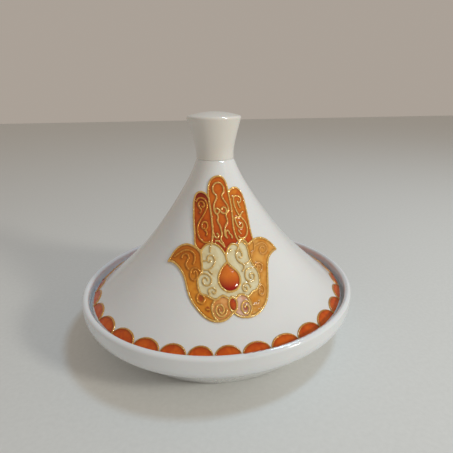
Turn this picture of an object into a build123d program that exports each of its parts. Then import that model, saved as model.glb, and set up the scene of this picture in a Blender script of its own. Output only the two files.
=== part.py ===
from build123d import *
import os
from math import acos, cos, exp, radians, sin, sqrt

# Small glazed tagine: a shallow dish, and a conical lid that lifts straight off it.
# Millimetres. The origin is the centre of the circle that the dish stands on, +Z is up,
# and the hand motif on the lid faces -Y. Turned shapes are drawn as (radius, height).

# Dish
DISH_RADIUS = 105.0
DISH_HEIGHT = 40.3
FOOT_RADIUS = 78.6            # outer edge of the ring that the dish stands on
FOOT_WIDTH = 8.0
FOOT_RECESS = 2.5
KNUCKLE_HEIGHT = 27.5         # where the sloping underside turns into the upright wall
LIP_WIDTH = 4.6
FLOOR_TOP = 6.8
GALLERY_HEIGHT = 30.5         # the ledge that carries the lid
GALLERY_OUTER = 99.9
GALLERY_INNER = 92.5

# Lid
LID_EDGE = (97.4, 34.2)
LID_START = 143.2             # direction in which the flank leaves the edge, degrees
LID_ARCS = [(316, 7.1), (204, 7.8), (391, 6.8), (98, 11.0)]    # radius and turn, edge to neck
LID_WALL = 4.0
LID_SEAT = (93.4, 96.6)       # inner and outer radius of the lid's resting ring
LID_CAVITY_TOP = 128.0
SEAM_HEIGHT = 136.0           # flat joint between the cone and the knob
SEAM_RADIUS = 13.2

# Knob
KNOB_FLARE = [(13.7, 136.6), (14.1, 144.0), (15.9, 152.0), (17.9, 159.4), (19.4, 164.2)]
KNOB_SHOULDER = (18.0, 166.3)  # where the rounded edge meets the domed top
KNOB_TOP = 169.0

# Painted decoration, in layers on the lid's glaze
ENAMEL = 0.35                 # thickness of the coloured glass paint
BORDER_HEIGHT = 0.7           # raised outlines, laid on the glaze
SCROLL_TOP = 0.8              # raised scrolls, laid on the paint
LINE_WIDTH = 0.9
SCROLL_WIDTH = 0.8
BAND_WIDTH = 0.6              # outline of a scallop
SCALLOP_COUNT = 30
SCALLOP_TOP = 39.3
SCALLOP_BASE = 34.6
SCALLOP_START = -3.8          # azimuth of the narrowest scallop's middle, degrees

# Raised outlines of the hand, as (x, z) seen from the front. Strokes meet at shared ends.
LOBE_JOIN = (-16.6, 79.0)
VALLEY = (-0.6, 79.2)
LOBES_MEET = (8.5, 83.2)
PALM_CORNER = (16.0, 75.4)
OVAL_TOP = (0.4, 58.7)
NOTCH = (0.2, 52.2)
LEFT_TIP = (-38.4, 73.7)
RIGHT_TIP = (37.5, 75.8)

FINGER_MIDDLE = [(-9.0, 86.3), (-7.6, 92), (-7.4, 98), (-7.7, 106), (-8.3, 114), (-7.6, 120),
                 (-5.2, 124.4), (-1.2, 126.2), (2.6, 125), (4.8, 120.8), (5.8, 115), (6.8, 107),
                 (6.9, 99), (7.0, 93), (9.2, 86.6)]
FINGER_LEFT = [(-8.3, 112.6), (-10.2, 115.1), (-13, 116.1), (-16, 114.7), (-17.9, 111.3),
               (-18.9, 105), (-19.5, 97), (-19.7, 90), (-19.8, 85.4), (-18.8, 83.3), (-16.1, 82.2)]
FINGER_RIGHT = [(5.9, 115.4), (7.6, 117.2), (10.4, 118.1), (13.2, 117), (15.6, 113.8),
                (17.1, 108.5), (18, 101), (18.6, 94), (19.3, 88.2), (20.2, 85.2)]
FINGER_RIGHT_BASE = [(9.2, 86.6), (12.6, 86.6), (14.4, 85.4), (15.6, 83.9), (17.6, 84.3),
                     (20.2, 85.2)]
PALM_LOBE_LEFT = [LOBE_JOIN, (-16.2, 81.6), (-13.8, 84.5), (-9.2, 86.2), (-5, 84.9),
                  (-2, 81.8), VALLEY]
PALM_LOBE_RIGHT = [VALLEY, (1.2, 82.6), (4.1, 85.1), (6.9, 84.8), LOBES_MEET]
PALM_LOBE_OUTER = [LOBES_MEET, (9.1, 85.2), (10.9, 85.9), (13.4, 84.5), (15, 81.6),
                   (15.3, 78.6), PALM_CORNER]
PALM_RIGHT = [PALM_CORNER, (16.9, 73.3), (18.2, 71.2), (19.9, 68.9), (20.6, 66), (20, 62.8),
              (17.4, 60.3), (14.2, 59.5), (11, 58), (8.4, 58.8), (5.7, 59.3), (3.0, 58.2),
              OVAL_TOP]
PALM_LEFT = [OVAL_TOP, (-2.1, 58.2), (-5.4, 59.5), (-9.3, 58), (-12.4, 58.4), (-15.5, 59.7),
             (-18.6, 60.4), (-20, 62.3), (-20.4, 65.2), (-19.6, 68.3), (-17.8, 69.8),
             (-16.8, 72.5), (-16.6, 76), LOBE_JOIN]
THUMB_LEFT_TOP = [LEFT_TIP, (-36, 77), (-32.4, 81), (-28, 83.9), (-24, 84.7), (-19.8, 83.4),
                  (-17.2, 81.3), LOBE_JOIN]
THUMB_LEFT_UNDER = [NOTCH, (-4, 49.7), (-10, 48.6), (-16.5, 50), (-22, 53.8), (-25.6, 58),
                    (-27.4, 63), (-28.5, 67.5), (-31, 71.5), (-34.5, 73.8), LEFT_TIP]
THUMB_RIGHT_TOP = [(20.2, 85.2), (23, 85.6), (26.4, 85), (30.5, 82.9), (34.5, 79.5), RIGHT_TIP]
THUMB_RIGHT_UNDER = [RIGHT_TIP, (33.2, 75.3), (30.2, 73.8), (28.3, 71), (27.3, 67.5),
                     (26.3, 63.5), (25, 58.5), (22.6, 54), (18.6, 51.2), (13, 49.4),
                     (7.5, 49.3), (2.8, 50.4), NOTCH]
LOBE_LEFT = [(-9.3, 58), (-11.8, 56.6), (-13.1, 54.2), (-12.6, 51.6), (-10.4, 48.9)]
LOBE_RIGHT = [(8.4, 58.8), (10.7, 57.3), (11.9, 55), (12.1, 52.8), (10.9, 50.8), (9.3, 49.5)]
VALLEY_STEM = [VALLEY, (-0.4, 77.5), (0, 75.9)]

# Closed raised lines: the drop in the palm and the small oval below it
DROP = [(0, 75.7), (3.9, 72), (6.6, 69.2), (7.2, 66.5), (5.9, 63.2), (3, 61.5), (0, 61.1),
        (-3.4, 61.9), (-6.2, 64.4), (-7, 67.4), (-5.5, 71), (-2.7, 74), (0, 75.7)]
OVAL = [(0.4, 58.7), (2.2, 57.8), (3, 55.5), (2.2, 53.2), (0.4, 52.3), (-1.4, 53.2),
        (-2.2, 55.5), (-1.4, 57.8), (0.4, 58.7)]

# Raised scrolls inside the outlines, grouped as they are named
SCROLLS = {
    "left_finger": [
        [(-16.6, 110), (-14.6, 112.2), (-12.2, 112.3), (-10.3, 110.6), (-9.7, 107.9),
         (-11, 104.9), (-13.6, 101), (-16.4, 97.2), (-17.5, 93), (-16.6, 89), (-13.8, 86.8),
         (-10.4, 87.2)],
        [(-14.8, 103.6), (-14.2, 105.9), (-15.4, 107.4), (-15, 109.5), (-13.2, 110.3),
         (-11.6, 109), (-12, 107.3), (-13.4, 107.3)],
        [(-12.9, 94.4), (-14.3, 94.9), (-14.2, 96.9), (-12.6, 98.4), (-10.9, 97.6),
         (-10.8, 95.4), (-12, 94)],
        [(-12.6, 93.4), (-11.5, 92.2), (-11.8, 90.8)],
    ],
    "middle_finger": [
        [(-4.3, 120.4), (-5, 118), (-4.4, 115.9), (-2.8, 114.1), (-3.5, 111.5),
         (-4.9, 108.8), (-5.3, 105.6), (-4.4, 103.5), (-3.2, 102.4), (-3.2, 100.6),
         (-3.8, 98.9), (-2.6, 97), (-1.9, 94), (-1.6, 90.8), (-2.6, 88.4), (-1.6, 86.4),
         (-0.8, 84)],
        [(-4.3, 120.4), (-2.9, 121.7), (-0.8, 122.2), (1.6, 120.9), (2.7, 118.4),
         (2.2, 115.9), (0.9, 113.5), (1.8, 111.4), (3.5, 109), (4.5, 106.6), (4.1, 104.2),
         (2.7, 102.6), (2.9, 100), (3.2, 98.2), (1.7, 96.2), (0.6, 93.6), (0.4, 91), (1.6, 89)],
        [(-2.9, 106.2), (-0.9, 104.5), (0.7, 103.2), (2.6, 103.4), (3.1, 105.2), (2, 106.7),
         (0.3, 106.5), (-0.3, 105.6)],
        [(-2.9, 106.2), (-4.4, 106), (-5.1, 104.8), (-4.2, 103.4), (-2.6, 103.4), (-2, 104.6)],
        [(1.4, 89.4), (0.9, 91.4), (1.7, 93), (3.2, 92.6), (3.3, 91.2), (4.2, 90.6), (5.1, 88.7)],
        [(-7, 92), (-6.6, 90.2), (-4.9, 89.4), (-3.9, 90.6), (-4.9, 91.6)],
        [(-6.2, 87.5), (-4.2, 87.4), (-2.6, 86), (-1.3, 84.6)],
    ],
    "right_finger": [
        [(8.3, 112.6), (11.4, 112.8), (13.8, 111.7), (14.6, 110), (13.5, 108.6), (11.8, 109.2)],
        [(12.2, 108.2), (12.5, 106.8), (13.3, 105.4)],
        [(9.4, 112.7), (8.9, 109.5), (9.4, 106.3), (10.8, 102.8), (12.6, 100.2),
         (15.2, 97.4), (16.6, 94), (16.5, 90.8), (14.8, 88.2), (12.2, 87.6), (9.8, 89)],
        [(8.2, 99.6), (10, 100.1), (12.4, 100.2), (13.6, 101.8), (15.2, 102.5)],
        [(8.6, 99.2), (9.1, 96.8), (10.4, 94.5), (12.5, 93.4), (13.7, 94.8), (12.9, 96.4),
         (11.3, 96.4)],
        [(10.3, 92.3), (11.4, 90.7)],
    ],
    "palm": [
        [(-9.2, 85.8), (-10.2, 83.8), (-10.5, 81.6)],
        [(-16.6, 72.6), (-14, 72.1), (-11.2, 73), (-8.8, 75), (-8, 77.6), (-9.3, 79.6),
         (-11.6, 79.5), (-12.9, 77.7), (-12, 76.2), (-10.9, 77)],
        [(-16.5, 77.2), (-14.8, 76.7), (-12.9, 77.7)],
        [(-12.9, 72.3), (-11.7, 71), (-10.6, 70.3)],
        [(-17.8, 69.8), (-15.4, 70.3), (-13, 69.6), (-11.5, 67.6), (-12.4, 65.3),
         (-14.8, 64.5), (-16.9, 65.6), (-16.8, 67.5), (-15, 68.2), (-13.9, 67)],
        [(-13.4, 60.5), (-14, 61.9), (-12.4, 63.3), (-10.2, 63.2), (-9.2, 62),
         (-10.3, 60.9), (-11.6, 61.5)],
        [(16, 75.3), (13.8, 74.2), (11, 73.9), (8.6, 74.8), (6.7, 76.9), (6.3, 79.2),
         (7.8, 80.9), (9.8, 80.7), (10.6, 78.9), (9.7, 77.3), (8.4, 77.8)],
        [(8.5, 83.2), (7.8, 81.9), (6.5, 81.3)],
        [(8.5, 83.2), (9.3, 82), (9.8, 80.7)],
        [(1.2, 81.2), (2.2, 81.5), (3.6, 82.4)],
        [(10.3, 73.9), (11, 72.4), (10.2, 70.9), (9.4, 70.4)],
        [(17.7, 71.5), (16.4, 71.1), (14, 71.2), (11.8, 70.2), (10.8, 67.8), (11.9, 65.4),
         (14.4, 64.6), (16.8, 65.6), (17, 67.6), (15.2, 68.4), (13.9, 67.4), (14.6, 66.3)],
        [(13.5, 62), (12.6, 63.6), (10.4, 64.2), (8.4, 63.2), (8.3, 61.4), (10, 60.6),
         (11, 61.8), (9.8, 62.6)],
    ],
    "left_thumb": [
        [(-34, 77), (-30.6, 79.4), (-27.4, 81.2), (-23.6, 81.6), (-21.2, 80.2),
         (-20.8, 77.8), (-22.2, 74.9)],
        [(-29.3, 77.2), (-27.8, 79), (-25.6, 79.4), (-24.7, 77.6), (-26.2, 75.7),
         (-26.7, 73.4), (-25.4, 71.8)],
        [(-17.9, 70), (-19.6, 72.3), (-22, 72.6), (-24.2, 70.8), (-24.6, 68.2),
         (-23.2, 66.7), (-21.2, 67.4), (-20.3, 69.6), (-21.2, 71.2), (-22.4, 70.2)],
        [(-19, 60.5), (-21.2, 59.6), (-21.6, 57.6), (-19.7, 56.3), (-17.5, 57),
         (-16.9, 58.9), (-17.9, 59.8)],
        [(-16.2, 53.7), (-15, 53.7)],
    ],
    "right_thumb": [
        [(20.2, 82), (22.4, 82.2), (25.4, 82.5), (28.4, 81.2), (29.8, 78.8), (28.4, 76.8),
         (25.8, 76.5), (24, 78), (24.4, 80), (26.4, 80.4), (27.6, 79)],
        [(20.2, 84.6), (20.3, 82), (19.8, 80), (18, 78.8), (17.2, 76.6)],
        [(18.4, 71.6), (21, 72.8), (23.2, 71.8), (23.9, 70), (22.6, 68.4), (20.6, 68.8),
         (20, 70.4), (21.2, 71.3), (22, 70.4)],
        [(19.2, 61.4), (21.4, 61.6), (22.7, 59.8), (22, 58), (20, 57.2),
         (18.6, 58.4), (19.6, 59.8), (20.8, 59.3)],
        [(12, 54.8), (12.8, 54.1), (14.8, 53.7), (16.6, 53.8), (17.8, 54.5)],
    ],
    "lobe": [
        [(-3.8, 53.4), (-5.2, 51.4), (-7.8, 50.6), (-10, 51.8), (-10.6, 53.8), (-9.2, 55.4),
         (-6.9, 55.3), (-5.7, 53.7), (-6.6, 52.2), (-8.3, 52.4), (-8.4, 53.7)],
        [(11.3, 54.4), (10.4, 55.8), (7.9, 56), (5.9, 54.6), (5.8, 52.4), (7.4, 50.9),
         (9.6, 51.4), (10.2, 53.3), (8.8, 54.4), (7.5, 53.6)],
    ],
}


def turned(face):
    """Revolve a (radius, height) face about the vertical axis."""
    return revolve(Plane.XZ * face, Axis.Z)


def closed_face(*edges):
    return make_face(edges)


# Lid surface: tangent hollow arcs, so that every layer on it is exactly parallel

def flank():
    """Centre, radius and headings at both ends of each arc of the lid's flank."""
    arcs = []
    point = Vector(*LID_EDGE)
    first = radians(LID_START)
    for radius, turn in LID_ARCS:
        last = first - radians(turn)
        centre = point + Vector(sin(first), -cos(first)) * radius
        point = centre + Vector(-sin(last), cos(last)) * radius
        arcs.append((centre, radius, first, last))
        first = last
    return arcs


def lid_line(offset):
    """The flank from edge to neck, moved out of the wall by offset."""
    line = []
    for centre, radius, first, last in flank():
        headings = (first, (first + last) / 2, last)
        points = [centre + Vector(-sin(h), cos(h)) * (radius - offset) for h in headings]
        line.append(ThreePointArc(*points))
    return line


def flank_at(height):
    """Radius of the lid, and heading of its flank, at a height."""
    for centre, radius, _, last in flank():
        if height < centre.Y + cos(last) * radius:
            break
    heading = acos((height - centre.Y) / radius)
    return centre.X - sin(heading) * radius, heading


def ends(arcs):
    return arcs[0] @ 0, arcs[-1] @ 1


def skin_face(inner, outer):
    """Section of a layer that lies on the lid between two offsets from its glaze."""
    low = lid_line(inner)
    high = lid_line(outer)
    low_start, low_end = ends(low)
    high_start, high_end = ends(high)
    return closed_face(*low, Line(low_end, high_end), *high, Line(high_start, low_start))


def layer(face, inner, outer):
    """A flat front-view face laid on the lid as a layer between two offsets."""
    skin = Rot(0, 0, 180) * revolve(Plane.XZ * skin_face(inner, outer), Axis.Z, 180)
    return extrude(Plane.XZ * face, DISH_RADIUS) & skin


# Dish and lid bodies

def dish():
    foot_inner = FOOT_RADIUS - FOOT_WIDTH
    lip_inner = DISH_RADIUS - LIP_WIDTH
    bowl_corner = 77.0
    ledge_foot = 21.5
    outline = [
        ((0, FOOT_RECESS), 0),
        ((foot_inner - 2, FOOT_RECESS), 1.5),
        ((foot_inner, 0), 1.0),
        ((FOOT_RADIUS, 0), 2.0),
        ((DISH_RADIUS - 0.3, KNUCKLE_HEIGHT), 11.0),
        ((DISH_RADIUS, DISH_HEIGHT), LIP_WIDTH / 2 - 0.05),
        ((lip_inner, DISH_HEIGHT), LIP_WIDTH / 2 - 0.05),
        ((GALLERY_OUTER, GALLERY_HEIGHT), 1.5),
        ((GALLERY_INNER, GALLERY_HEIGHT), 1.8),
        ((GALLERY_INNER, ledge_foot), 4.0),
        ((bowl_corner, FLOOR_TOP), 14.0),
        ((0, FLOOR_TOP), 0),
    ]
    points = [point for point, _ in outline]
    radii = [radius for _, radius in outline[1:-1]]
    wall = FilletPolyline(*points, radius=radii)
    return turned(closed_face(wall, Line(points[-1], points[0])))


def lid_cone():
    outside = lid_line(0)
    edge, neck = ends(outside)
    rim = ThreePointArc((LID_SEAT[1], GALLERY_HEIGHT), (98.1, 32.2), edge)
    shape = closed_face(
        *outside,
        Polyline(neck, (SEAM_RADIUS, SEAM_HEIGHT), (0, SEAM_HEIGHT),
                 (0, GALLERY_HEIGHT), (LID_SEAT[1], GALLERY_HEIGHT)),
        rim,
    )
    inside = lid_line(-LID_WALL)
    inner_edge, inner_neck = ends(inside)
    hollow = closed_face(
        *inside,
        Polyline(inner_neck, (0, SEAM_HEIGHT), (0, 0), (LID_EDGE[0], 0), inner_edge),
    )
    hollow &= Pos(0, 0) * Rectangle(DISH_RADIUS, LID_CAVITY_TOP, align=(Align.MIN, Align.MIN))
    seat_width = LID_SEAT[1] - LID_SEAT[0]
    seat = Pos(LID_SEAT[0], GALLERY_HEIGHT) * Rectangle(seat_width, 3.5, align=(Align.MIN, Align.MIN))
    return turned(shape - hollow + seat)


def lid_knob():
    flare_end = KNOB_FLARE[-1]
    edge = ThreePointArc(flare_end, (flare_end[0] - 0.2, flare_end[1] + 1.3), KNOB_SHOULDER)
    dome = TangentArc((0, KNOB_TOP), KNOB_SHOULDER, tangent=(1, 0))
    return turned(closed_face(
        Line((SEAM_RADIUS, SEAM_HEIGHT), KNOB_FLARE[0]),
        Spline(*KNOB_FLARE),
        edge,
        dome,
        Polyline((0, KNOB_TOP), (0, SEAM_HEIGHT), (SEAM_RADIUS, SEAM_HEIGHT)),
    ))


# Hand motif, drawn flat

def on_lid(point, along):
    """Front-view steps of one millimetre on the lid, along a line there and square to it."""
    radius, heading = flank_at(point.Y)
    side = point.X / radius
    facing = sqrt(1 - side ** 2)
    level = Vector(facing, 0)
    uphill = Vector(cos(heading) * side, sin(heading))
    climb = along.Y / uphill.Y
    travel = (along.X - climb * uphill.X) / facing
    size = sqrt(climb ** 2 + travel ** 2)
    return (level * travel + uphill * climb) / size, (uphill * travel - level * climb) / size


def side_arcs(points):
    """One flank of a stroke: arcs through each three points in turn."""
    edges = []
    for first, middle, last in zip(points[::2], points[1::2], points[2::2]):
        bend = (middle - first).cross(last - middle).Z
        edges.append(ThreePointArc(first, middle, last) if abs(bend) > 1e-4 else Line(first, last))
    return edges


def stroke(points, width=LINE_WIDTH):
    """A round-ended line of paste along a smooth curve through the points."""
    path = Spline(*points) if len(points) > 2 else Line(*points)
    steps = 2 * max(1, round(path.length / 3.2))
    left = []
    right = []
    caps = []
    for i in range(steps + 1):
        point = path @ (i / steps)
        along, across = on_lid(point, path % (i / steps))
        left.append(point + across * width / 2)
        right.append(point - across * width / 2)
        caps.append(along * width / 2)
    return closed_face(
        *side_arcs(left),
        ThreePointArc(left[-1], path @ 1 + caps[-1], right[-1]),
        *side_arcs(right[::-1]),
        ThreePointArc(right[0], path @ 0 - caps[0], left[0]),
    )


def region(*edges_of_points, through=()):
    """The area inside curves that follow one another, closed by straight runs if any."""
    edges = [Spline(*points) for points in edges_of_points]
    if through:
        edges.append(Polyline(edges_of_points[-1][-1], *through, edges_of_points[0][0]))
    return closed_face(*edges)


def halves(loop):
    """A closed loop of points as two open lines, because a stroke can't close on itself."""
    middle = len(loop) // 2
    return loop[:middle + 1], loop[middle:]


def border_lines():
    """All raised outlines of the hand, which run into one another."""
    strokes = [
        FINGER_MIDDLE, FINGER_LEFT, FINGER_RIGHT, FINGER_RIGHT_BASE,
        PALM_LOBE_LEFT, PALM_LOBE_RIGHT, PALM_LOBE_OUTER, PALM_RIGHT, PALM_LEFT, VALLEY_STEM,
        THUMB_LEFT_TOP, THUMB_LEFT_UNDER, THUMB_RIGHT_TOP, THUMB_RIGHT_UNDER,
        LOBE_LEFT, LOBE_RIGHT, *halves(DROP), *halves(OVAL),
    ]
    return Sketch() + [stroke(points) for points in strokes]


def scroll_lines(borders):
    faces = {}
    for name, strokes in SCROLLS.items():
        lines = Sketch() + [stroke(points, SCROLL_WIDTH) for points in strokes]
        faces[f"relief_{name}_scrolls"] = lines - borders
    return faces


def enamel_fields(borders):
    """Fields of glass paint between the raised outlines."""
    palm = region(PALM_LOBE_LEFT, PALM_LOBE_RIGHT, PALM_LOBE_OUTER, PALM_RIGHT, PALM_LEFT)
    middle = region(FINGER_MIDDLE, through=[(0, 78)]) - palm
    left = region(FINGER_LEFT, through=[(-10, 80), (-7, 90)]) - palm - middle
    right = region(FINGER_RIGHT, FINGER_RIGHT_BASE[::-1], through=[(5, 95)]) - middle
    drop = region(DROP)
    oval = region(OVAL)
    lobe_left = region(LOBE_LEFT, through=[(0, 47), (1, 60)])
    lobe_right = region(LOBE_RIGHT, through=[(0, 47), (0, 60)])
    left_under = region(THUMB_LEFT_UNDER, THUMB_LEFT_TOP, through=[(0, 70)])
    right_under = region(THUMB_RIGHT_TOP, THUMB_RIGHT_UNDER, through=[(0, 70), (14, 80), (15.6, 83.9)])
    fields = {
        "enamel_middle_finger": middle,
        "enamel_left_finger": left,
        "enamel_right_finger": right,
        "enamel_palm": palm - drop,
        "enamel_drop": drop,
        "enamel_oval": oval,
        "enamel_left_lobe": (lobe_left & left_under) - palm - oval,
        "enamel_right_lobe": (lobe_right & right_under) - palm - oval,
        "enamel_left_thumb": left_under - palm - lobe_left - oval,
        "enamel_right_thumb": right_under - palm - lobe_right - oval,
    }
    return {name: field - borders for name, field in fields.items()}


# Scalloped border at the lid's edge

def scallop_widths():
    """Angles of the hand-spaced scallops, narrower where the ring closes near the front."""
    widths = []
    azimuth = SCALLOP_START
    for _ in range(SCALLOP_COUNT):
        turn = (azimuth + 12 + 180) % 360 - 180
        widths.append(12.3 - 2.6 * exp(-(turn / 22) ** 2))
        azimuth += widths[-1]
    scale = 360 / sum(widths)
    return [width * scale for width in widths]


def half_ellipse(half_width, height):
    upper = Pos(0, height / 2) * Rectangle(2 * half_width, height)
    return Pos(0, SCALLOP_BASE) * (Ellipse(half_width, height) & upper)


def scallops():
    front = Rot(0, 0, -100)
    band_sector = front * revolve(Plane.XZ * skin_face(0, BORDER_HEIGHT), Axis.Z, 20)
    paint_sector = front * revolve(Plane.XZ * skin_face(0, ENAMEL), Axis.Z, 20)
    gap = 0.15
    height = SCALLOP_TOP - SCALLOP_BASE
    band_rise = BAND_WIDTH * sin(radians(LID_START))
    paint = []
    bands = []
    azimuth = SCALLOP_START
    previous = 0
    for width in scallop_widths():
        azimuth += (previous + width) / 2 if previous else 0
        previous = width
        half_width = LID_EDGE[0] * radians(width) / 2 - gap
        whole = half_ellipse(half_width, height)
        field = half_ellipse(half_width - BAND_WIDTH, height - band_rise)
        turn = Rot(0, 0, azimuth)
        paint.append(turn * (extrude(Plane.XZ * field, DISH_RADIUS) & paint_sector))
        bands.append(turn * (extrude(Plane.XZ * (whole - field), DISH_RADIUS) & band_sector))
    return paint, bands


def solids_of(shape):
    parts = shape if isinstance(shape, list) else [shape]
    return [solid for part in parts for solid in part.solids()]


def build():
    nodes = {"dish": dish(), "lid_cone": lid_cone(), "lid_knob": lid_knob()}
    borders = border_lines()
    nodes["relief_hand_outline"] = layer(borders, 0, BORDER_HEIGHT)
    for name, face in enamel_fields(borders).items():
        nodes[name] = layer(face, 0, ENAMEL)
    for name, face in scroll_lines(borders).items():
        nodes[name] = layer(face, ENAMEL, SCROLL_TOP)
    nodes["scallop_enamel"], nodes["scallop_outlines"] = scallops()
    return nodes


os.makedirs("parts", exist_ok=True)
for name, shape in build().items():
    export_step(Compound(children=solids_of(shape)), f"parts/{name}.step")
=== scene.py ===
from math import cos, exp, radians, sin

import bpy
from mathutils import Matrix, Vector, noise
from mathutils.bvhtree import BVHTree
from mathutils.kdtree import KDTree


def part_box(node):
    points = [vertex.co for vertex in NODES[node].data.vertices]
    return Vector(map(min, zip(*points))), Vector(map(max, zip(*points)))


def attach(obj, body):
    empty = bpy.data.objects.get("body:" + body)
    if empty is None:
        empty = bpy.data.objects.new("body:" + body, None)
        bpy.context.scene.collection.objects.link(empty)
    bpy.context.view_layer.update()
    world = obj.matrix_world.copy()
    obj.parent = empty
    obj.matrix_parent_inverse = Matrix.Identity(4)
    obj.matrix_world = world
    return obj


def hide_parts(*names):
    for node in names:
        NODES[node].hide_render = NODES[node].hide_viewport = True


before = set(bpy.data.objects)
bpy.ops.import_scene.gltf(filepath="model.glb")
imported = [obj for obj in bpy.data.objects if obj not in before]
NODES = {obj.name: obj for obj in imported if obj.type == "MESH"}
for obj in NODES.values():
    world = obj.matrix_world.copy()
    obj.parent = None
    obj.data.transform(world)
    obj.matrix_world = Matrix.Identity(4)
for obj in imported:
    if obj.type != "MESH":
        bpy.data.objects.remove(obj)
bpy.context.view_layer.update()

# Looks of a small glazed tagine: the porcelain dish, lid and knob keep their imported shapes,
# and the hand painting on the lid is remade as soft raised paste and pooled glass enamel.
# Metres, in the part's own frame: +Z up, the painted hand faces -Y. Colours are linear RGB.

MM = 0.001

# Materials
GLAZE_COAT = 0.6         # clear coat of the white glaze
POOL_AND_SHADE_LEVEL = 0.45         # brightness left beside a raised line: paint pooled there, and painted shade of the line
DARK_SPOT = (0.40, 0.05, 0.01)

# Painted layers; lengths are in millimetres
PARALLEL = 0.93          # a face this parallel to the glaze is not one of a layer's side walls
WALL_STEP = 0.25         # spacing of the points taken along side walls
UNDERSIDE = 0.12         # points nearer to the glaze than this are on a layer's underside
SINK = 0.1               # how far the underside is pushed into the glaze
POOL_AND_SHADE_REACH = 0.9         # over this distance from a raised line, the dark rim of pooled paint and painted shade fades
CLIMB_HEIGHT = 0.28      # how far paint is drawn up the side of a raised line
CLIMB_REACH = 0.55       # over this distance from the line, the climb fades
RIPPLE_HEIGHT = 0.08     # how far the paint's surface wanders
RIPPLE_LENGTH = 3        # size of the ripples
THIN_CROWN = 0.25        # share of a dome's thickness left at its upper end


# ---------------------------------------------------------------- shader helper

class Shader:
    """Short way to write a node material: each call adds a node and returns its output."""

    def __init__(self, name):
        self.material = bpy.data.materials.new(name)
        self.material.use_nodes = True
        self.tree = self.material.node_tree
        self.surface = self.tree.nodes["Principled BSDF"]
        self.place = self.add("ShaderNodeTexCoord").outputs["Object"]

    def add(self, kind, **properties):
        node = self.tree.nodes.new(kind)
        for key, value in properties.items():
            setattr(node, key, value)
        return node

    def plug(self, socket, value):
        """Links an output to the socket, or sets the socket to a constant."""
        if isinstance(value, bpy.types.NodeSocket):
            self.tree.links.new(value, socket)
        elif isinstance(value, tuple) and len(value) == 3 and socket.type == "RGBA":
            socket.default_value = (*value, 1)
        else:
            socket.default_value = value

    def axes(self):
        """The X, Y and Z of the shaded point."""
        split = self.add("ShaderNodeSeparateXYZ")
        self.plug(split.inputs[0], self.place)
        return split.outputs

    def math(self, operation, *values):
        node = self.add("ShaderNodeMath", operation=operation)
        for socket, value in zip(node.inputs, values):
            self.plug(socket, value)
        return node.outputs[0]

    def span(self, value, low, high, start=0.0, end=1.0):
        """value between low and high, turned into a number between start and end."""
        node = self.add("ShaderNodeMapRange")
        for socket, number in zip(node.inputs, (value, low, high, start, end)):
            self.plug(socket, number)
        return node.outputs[0]

    def noise(self, size, detail=2.0, roughness=0.5, distortion=0.0):
        """Cloudy noise with features of about the given size in metres."""
        node = self.add("ShaderNodeTexNoise")
        for key, value in (("Vector", self.place), ("Scale", 1 / size), ("Detail", detail),
                           ("Roughness", roughness), ("Distortion", distortion)):
            self.plug(node.inputs[key], value)
        return node.outputs["Fac"]

    def attribute(self, name):
        return self.add("ShaderNodeAttribute", attribute_name=name).outputs["Fac"]

    def mix(self, factor, first, second):
        """Blend of two colours. Sockets go by place, because the node repeats their names."""
        node = self.add("ShaderNodeMix", data_type="RGBA")
        self.plug(node.inputs[0], factor)
        self.plug(node.inputs[6], first)
        self.plug(node.inputs[7], second)
        return node.outputs[2]

    def bump(self, height, distance, below=None):
        node = self.add("ShaderNodeBump")
        self.plug(node.inputs["Height"], height)
        self.plug(node.inputs["Distance"], distance)
        if below is not None:
            self.plug(node.inputs["Normal"], below)
        return node.outputs["Normal"]

    def finish(self, **inputs):
        for key, value in inputs.items():
            self.plug(self.surface.inputs[key.replace("_", " ")], value)
        return self.material


# ---------------------------------------------------------------- materials

def specks(shader, spacing, share):
    """Sparse round specks: 1 inside a speck, 0 elsewhere."""
    radius = 0.06  # in spacings
    cells = shader.add("ShaderNodeTexVoronoi")
    shader.plug(cells.inputs["Vector"], shader.place)
    shader.plug(cells.inputs["Scale"], 1 / spacing)
    chosen = shader.add("ShaderNodeSeparateColor")
    shader.plug(chosen.inputs[0], cells.outputs["Color"])
    picked = shader.math("LESS_THAN", chosen.outputs[0], share)
    near = shader.math("LESS_THAN", cells.outputs["Distance"], radius)
    return shader.math("MULTIPLY", picked, near)


def porcelain(name, white, shade, gloss, foot=None):
    """White glaze over porcelain: slow waves, pooled tone, a few iron specks, bare foot."""
    shader = Shader(name)
    pooled = shader.noise(45 * MM, detail=3)
    colour = shader.mix(shader.span(pooled, 0.35, 0.7), white, shade)
    colour = shader.mix(specks(shader, 14 * MM, 0.012), colour, (0.30, 0.25, 0.19))
    roughness = shader.span(shader.noise(9 * MM, detail=4), 0.3, 0.7, gloss, gloss + 0.05)
    waves = shader.bump(shader.noise(32 * MM, detail=1.5), 0.10 * MM)
    skin = shader.bump(shader.noise(1.6 * MM, detail=3, roughness=0.6), 0.002 * MM, below=waves)
    coat = GLAZE_COAT
    if foot is not None:
        glaze_edge = foot + 0.25 * MM
        bare = shader.span(shader.axes()["Z"], foot, glaze_edge, 1.0, 0.0)
        grit = shader.noise(0.5 * MM, detail=3)
        clay = shader.mix(grit, (0.70, 0.66, 0.58), (0.80, 0.77, 0.70))
        colour = shader.mix(bare, colour, clay)
        roughness = shader.math("MAXIMUM", roughness, shader.math("MULTIPLY", bare, 0.85))
        coat = shader.math("SUBTRACT", GLAZE_COAT, shader.math("MULTIPLY", bare, GLAZE_COAT))
    return shader.finish(Base_Color=colour, Roughness=roughness, IOR=1.5, Normal=skin,
                         Coat_Weight=coat, Coat_Roughness=0.09,
                         Subsurface_Weight=0.06, Subsurface_Scale=2 * MM)


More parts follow.
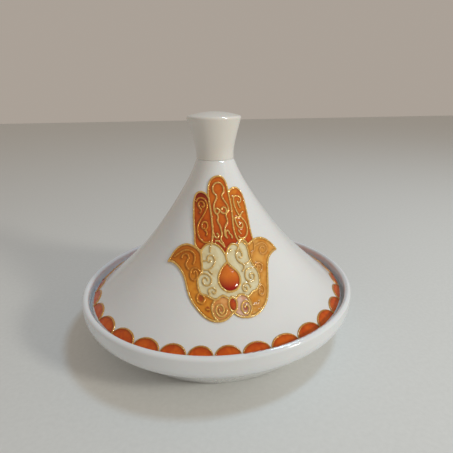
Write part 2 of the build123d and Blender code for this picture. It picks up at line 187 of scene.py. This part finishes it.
def blot(shader, x, z, radius):
    """0.9 within a round darker spot in the paint, seen from the front, fading to 0 outside it.
    """
    axes = shader.axes()
    across = shader.math("POWER", shader.math("SUBTRACT", axes["X"], x), 2.0)
    upward = shader.math("POWER", shader.math("SUBTRACT", axes["Z"], z), 2.0)
    away = shader.math("SQRT", shader.math("ADD", across, upward))
    return shader.span(away, radius * 0.6, radius * 1.2, 0.9, 0.0)


def enamel(name, thin, thick, low=None, high=None, rim=0.7, gloss=0.45, uneven=0.55, blots=()):
    """Glass paint: thin colour where it is stretched, thick colour where it has pooled.

    The thick colour is full at height low and gone at height high, if they are given, and
    rim is how much the paint darkens beside raised lines, partly pooled paint and partly
    painted shade. Each blot is x, z, radius in mm.
    """
    shader = Shader(name)
    flow = shader.noise(5 * MM, detail=1.5, distortion=0.6)
    depth = shader.span(flow, 0.38, 0.72)
    if low is not None:
        sunk = shader.span(shader.axes()["Z"], low, high, 1.0, 0.0)
        depth = shader.math("MAXIMUM", sunk, shader.math("MULTIPLY", depth, uneven))
    colour = shader.mix(depth, thin, thick)
    dark = tuple(channel * POOL_AND_SHADE_LEVEL for channel in thick)
    for x, z, radius in blots:
        colour = shader.mix(blot(shader, x * MM, z * MM, radius * MM), colour, DARK_SPOT)
    # painted shade: the paint darkens beside raised lines, partly from pooled paint and partly
    # as painted shade of the lines
    colour = shader.mix(shader.math("MULTIPLY", shader.attribute("pool_and_line_shade"), rim), colour, dark)
    streaks = shader.bump(shader.noise(2.6 * MM, detail=1.5), 0.22 * MM)
    return shader.finish(Base_Color=colour, Roughness=0.16, IOR=1.52, Normal=streaks,
                         Coat_Weight=gloss, Coat_Roughness=0.02, Specular_IOR_Level=0.15)


def paste(name, bright, dull, metal, coat=1.0):
    """Raised outline paste with metal powder in it: uneven shine, fine grain."""
    shader = Shader(name)
    worn = shader.noise(1.3 * MM, detail=3)
    colour = shader.mix(shader.span(worn, 0.35, 0.65), bright, dull)
    grain = shader.bump(shader.noise(0.28 * MM, detail=2), 0.02 * MM)
    lumps = shader.bump(shader.noise(0.9 * MM, detail=1), 0.08 * MM, below=grain)
    roughness = shader.span(worn, 0.3, 0.7, 0.16, 0.34)
    return shader.finish(Base_Color=colour, Metallic=metal, Roughness=roughness, Normal=lumps,
                         Coat_Weight=coat, Coat_Roughness=0.04)


def tabletop():
    """Pale painted board with a barely visible mottle."""
    shader = Shader("stage_floor")
    mottle = shader.noise(3 * MM, detail=4)
    colour = shader.mix(shader.span(mottle, 0.3, 0.7), (0.70, 0.715, 0.70), (0.735, 0.75, 0.735))
    rough = shader.bump(mottle, 0.05 * MM)
    return shader.finish(Base_Color=colour, Roughness=0.6, Normal=rough)


# ---------------------------------------------------------------- meshes of painted layers

def surface_of(node):
    mesh = NODES[node].data
    places = [vertex.co.copy() for vertex in mesh.vertices]
    faces = [tuple(face.vertices) for face in mesh.polygons]
    return BVHTree.FromPolygons(places, faces)


GLAZE = surface_of("lid_cone")


def glaze_under(point):
    """Nearest point of the lid's glaze and its outward direction."""
    place, normal, _, _ = GLAZE.find_nearest(point)
    return place, normal


def side_walls(mesh):
    """Points along a layer's side walls, which cross from the glaze to its top."""
    points = []
    for face in mesh.polygons:
        _, outward = glaze_under(face.center)
        if abs(face.normal.dot(outward)) > PARALLEL:
            continue
        corners = [mesh.vertices[i].co for i in face.vertices]
        for first, last in zip(corners, corners[1:] + corners[:1]):
            count = max(1, round((last - first).length / (WALL_STEP * MM)))
            points += [first.lerp(last, k / count) for k in range(count)]
    return points


def tree_of(points):
    tree = KDTree(len(points))
    for index, point in enumerate(points):
        tree.insert(point, index)
    tree.balance()
    return tree


LINES = tree_of([point for node, obj in NODES.items()
                 if node.startswith("relief") or node == "scallop_outlines"
                 for point in side_walls(obj.data)])


def apply_modifiers(obj):
    graph = bpy.context.evaluated_depsgraph_get()
    mesh = bpy.data.meshes.new_from_object(obj.evaluated_get(graph))
    obj.modifiers.clear()
    obj.data = mesh


def softened(node, name, voxel, rounds):
    """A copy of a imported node's shape with an even, fine mesh and rounded edges."""
    obj = bpy.data.objects.new(name, NODES[node].data.copy())
    bpy.context.scene.collection.objects.link(obj)
    even = obj.modifiers.new("even", "REMESH")
    even.mode = "VOXEL"
    even.voxel_size = voxel
    apply_modifiers(obj)
    soft = obj.modifiers.new("soft", "SMOOTH")
    soft.factor = 0.5
    soft.iterations = rounds
    apply_modifiers(obj)
    return obj


def cover(mesh, material):
    """Gives a whole mesh one material."""
    mesh.materials.clear()
    mesh.materials.append(material)


def dress(obj, node, material):
    """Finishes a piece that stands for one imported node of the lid."""
    for face in obj.data.polygons:
        face.use_smooth = True
    cover(obj.data, material)
    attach(obj, "lid")
    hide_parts(node)


def pooled_enamel(node, material, dome=0.0, reach=5.0, voxel=0.3):
    """Glass paint that fills an outline: it climbs the raised lines, or domes if it is thick.

    dome is the height in mm at the middle, reached at reach mm from the edge.
    """
    edge = tree_of(side_walls(NODES[node].data))
    foot, head = (corner.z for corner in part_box(node))
    obj = softened(node, node.replace("enamel", "glass"), voxel * MM, rounds=4)
    mesh = obj.data
    pool_and_line_shade = []
    for vertex in mesh.vertices:
        place, outward = glaze_under(vertex.co)
        lift = (vertex.co - place).dot(outward)
        line = LINES.find(vertex.co)[2] / MM
        # how dark the paint gets beside the nearest raised line: pooled paint and painted shade
        pool_and_line_shade.append(exp(-line / POOL_AND_SHADE_REACH))
        if lift < UNDERSIDE * MM:
            vertex.co -= outward * SINK * MM
            continue
        inward = min(1.0, edge.find(vertex.co)[2] / MM / reach)
        sunk = (head - vertex.co.z) / (head - foot)
        crown = dome * (1 - (1 - inward) ** 2) * (THIN_CROWN + (1 - THIN_CROWN) * sunk)
        climb = 0.0 if dome else CLIMB_HEIGHT * exp(-line / CLIMB_REACH)
        uneven = RIPPLE_HEIGHT * noise.noise(vertex.co / (RIPPLE_LENGTH * MM))
        vertex.co += outward * (crown + climb + uneven) * MM
    mesh.attributes.new("pool_and_line_shade", "FLOAT", "POINT").data.foreach_set("value", pool_and_line_shade)
    dress(obj, node, material)


def paste_line(node, material, fat=0.21, wobble=0.10, voxel=0.17):
    """Squeezed-on outline paste: a rounded bead whose thickness wanders a little."""
    obj = softened(node, "paste_" + node.removeprefix("relief_"), voxel * MM, rounds=7)
    mesh = obj.data
    normals = [vertex.normal.copy() for vertex in mesh.vertices]
    broad = 1.9 * MM
    fine = 0.8 * MM
    for vertex, normal in zip(mesh.vertices, normals):
        wander = noise.noise(vertex.co / broad) + 0.6 * noise.noise(vertex.co / fine)
        vertex.co += normal * (fat + wobble * wander) * MM
    dress(obj, node, material)


# ---------------------------------------------------------------- the pot

def paint_pot():
    glaze = porcelain("porcelain_glaze", (0.79, 0.80, 0.795), (0.75, 0.765, 0.765), 0.10)
    dish_glaze = porcelain("dish_glaze", (0.79, 0.82, 0.845), (0.75, 0.785, 0.81), 0.12,
                           foot=0.0)
    # The knob's white is warmer and darker than the lid's: painted warm reflected light and
    # shade on the knob.
    knob_glaze = porcelain("knob_glaze", (0.77, 0.755, 0.71), (0.73, 0.71, 0.66), 0.30)
    for node, material in (("dish", dish_glaze), ("lid_cone", glaze), ("lid_knob", knob_glaze)):
        cover(NODES[node].data, material)


def paint_enamels():
    drop_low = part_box("enamel_drop")[0].z
    finger_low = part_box("enamel_middle_finger")[0].z
    finger_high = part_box("enamel_left_finger")[1].z
    thumb_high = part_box("enamel_left_thumb")[1].z
    vermilion = enamel("vermilion_enamel", (0.72, 0.17, 0.012), (0.50, 0.05, 0.005),
                       low=finger_low + 4 * MM, high=finger_low + 26 * MM)
    russet = enamel("russet_enamel", (0.68, 0.13, 0.006), (0.34, 0.025, 0.003),
                    low=finger_high - 2 * MM, high=finger_high - 12 * MM)
    orange = enamel("orange_enamel", (0.72, 0.22, 0.018), (0.60, 0.08, 0.005),
                    low=finger_low + 4 * MM, high=finger_low + 24 * MM)
    cream = enamel("cream_enamel", (0.80, 0.73, 0.48), (0.74, 0.60, 0.32), rim=0.3)
    red = enamel("red_enamel", (0.74, 0.19, 0.02), (0.40, 0.012, 0.006), rim=0.5, uneven=0.1,
                 low=drop_low + 1.5 * MM, high=drop_low + 8 * MM)
    oval = enamel("oval_enamel", (0.66, 0.11, 0.015), (0.50, 0.05, 0.01))
    pale_orange = enamel("pale_orange_enamel", (0.84, 0.41, 0.14), (0.76, 0.26, 0.04),
                         blots=[(-8.3, 53.2, 1.4)])
    pale_pink = enamel("pale_pink_enamel", (0.88, 0.62, 0.49), (0.78, 0.40, 0.24),
                       blots=[(8.2, 53.2, 1.6)])
    amber = enamel("amber_enamel", (0.80, 0.40, 0.09), (0.68, 0.25, 0.025))
    brown = enamel("brown_amber_enamel", (0.82, 0.33, 0.03), (0.62, 0.17, 0.010),
                   low=thumb_high - 7 * MM, high=thumb_high - 22 * MM,
                   blots=[(-15.5, 53.7, 1.3), (-19.2, 58.4, 1.6)])
    scarlet = enamel("scallop_enamel", (0.67, 0.118, 0.006), (0.53, 0.062, 0.004), gloss=0.4)
    pooled_enamel("enamel_middle_finger", vermilion)
    pooled_enamel("enamel_left_finger", russet)
    pooled_enamel("enamel_right_finger", orange)
    pooled_enamel("enamel_palm", cream)
    pooled_enamel("enamel_drop", red, dome=1.5)
    pooled_enamel("enamel_oval", oval, dome=0.8, reach=2.2)
    pooled_enamel("enamel_left_lobe", pale_orange)
    pooled_enamel("enamel_right_lobe", pale_pink)
    pooled_enamel("enamel_left_thumb", brown)
    pooled_enamel("enamel_right_thumb", amber)
    pooled_enamel("scallop_enamel", scarlet, voxel=0.35)


def paint_lines():
    gold = paste("gold_relief", (0.92, 0.58, 0.16), (0.62, 0.32, 0.05), 0.40)
    old_gold = paste("old_gold_relief", (0.80, 0.56, 0.20), (0.52, 0.31, 0.08), 0.2)
    dark_gold = paste("dark_gold_relief", (0.72, 0.38, 0.07), (0.46, 0.18, 0.02), 0.4)
    burnt = paste("burnt_gold_relief", (0.86, 0.38, 0.045), (0.52, 0.16, 0.010), 0.40,
                  coat=0.35)
    amber = paste("amber_relief", (0.80, 0.40, 0.08), (0.62, 0.25, 0.04), 0.15, coat=0.5)
    paste_line("relief_hand_outline", gold)
    paste_line("relief_middle_finger_scrolls", gold)
    paste_line("relief_right_finger_scrolls", gold)
    paste_line("relief_left_finger_scrolls", burnt)
    paste_line("relief_left_thumb_scrolls", burnt)
    paste_line("relief_lobe_scrolls", gold)
    paste_line("relief_palm_scrolls", old_gold)
    paste_line("relief_right_thumb_scrolls", amber)
    paste_line("scallop_outlines", dark_gold, fat=0.0, wobble=0.05, voxel=0.16)


# ---------------------------------------------------------------- stage, light and camera

def build_stage():
    half = 2.5
    corners = [(-half, -half, 0), (half, -half, 0), (half, half, 0), (-half, half, 0)]
    mesh = bpy.data.meshes.new("stage_floor")
    mesh.from_pydata(corners, [], [(0, 1, 2, 3)])
    mesh.materials.append(tabletop())
    floor = bpy.data.objects.new("stage_floor", mesh)
    bpy.context.scene.collection.objects.link(floor)


def area_light(name, azimuth, elevation, size, power, colour):
    """A square soft light that looks at the lid. Azimuth 0 is the painted front, 90 is +X."""
    target = Vector((0, 0, 0.08))
    distance = 1.2
    bearing, tilt = radians(azimuth), radians(elevation)
    away = Vector((sin(bearing) * cos(tilt), -cos(bearing) * cos(tilt), sin(tilt)))
    data = bpy.data.lights.new(name, "AREA")
    data.size = size
    data.energy = power
    data.color = colour
    light = bpy.data.objects.new(name, data)
    light.location = target + away * distance
    light.rotation_euler = away.to_track_quat("Z", "Y").to_euler()
    bpy.context.scene.collection.objects.link(light)


def build_light():
    world = bpy.data.worlds.new("room")
    bpy.context.scene.world = world
    world.use_nodes = True
    room = world.node_tree.nodes["Background"]
    room.inputs["Color"].default_value = (1.0, 0.88, 0.765, 1)
    room.inputs["Strength"].default_value = 0.406
    area_light("ceiling", azimuth=80, elevation=68, size=0.20, power=3.6,
               colour=(0.56, 0.78, 1.0))
    area_light("window", azimuth=48, elevation=24, size=0.17, power=5.4,
               colour=(1.0, 0.955, 0.86))


def build_camera():
    """A close view, a little from the left and from above, looking slightly to the right."""
    place = (-0.0307, -0.27807, 0.1812)
    yaw, pitch, roll = radians(10.46), radians(19.5), radians(-0.37)
    ahead = Vector((sin(yaw) * cos(pitch), cos(yaw) * cos(pitch), -sin(pitch)))
    level = Vector((cos(yaw), -sin(yaw), 0))
    upright = level.cross(ahead)
    right = level * cos(roll) + upright * sin(roll)
    up = right.cross(ahead)
    turn = Matrix((right, up, -ahead)).transposed()
    data = bpy.data.cameras.new("camera")
    data.sensor_width = 36
    data.lens = 29.93
    data.shift_x = -0.0367
    data.shift_y = -0.0007
    data.clip_start = 0.01
    camera = bpy.data.objects.new("camera", data)
    camera.matrix_world = Matrix.Translation(place) @ turn.to_4x4()
    bpy.context.scene.collection.objects.link(camera)
    bpy.context.scene.camera = camera


paint_pot()
paint_enamels()
paint_lines()
build_stage()
build_light()
build_camera()
bpy.context.scene.view_settings.view_transform = "Standard"
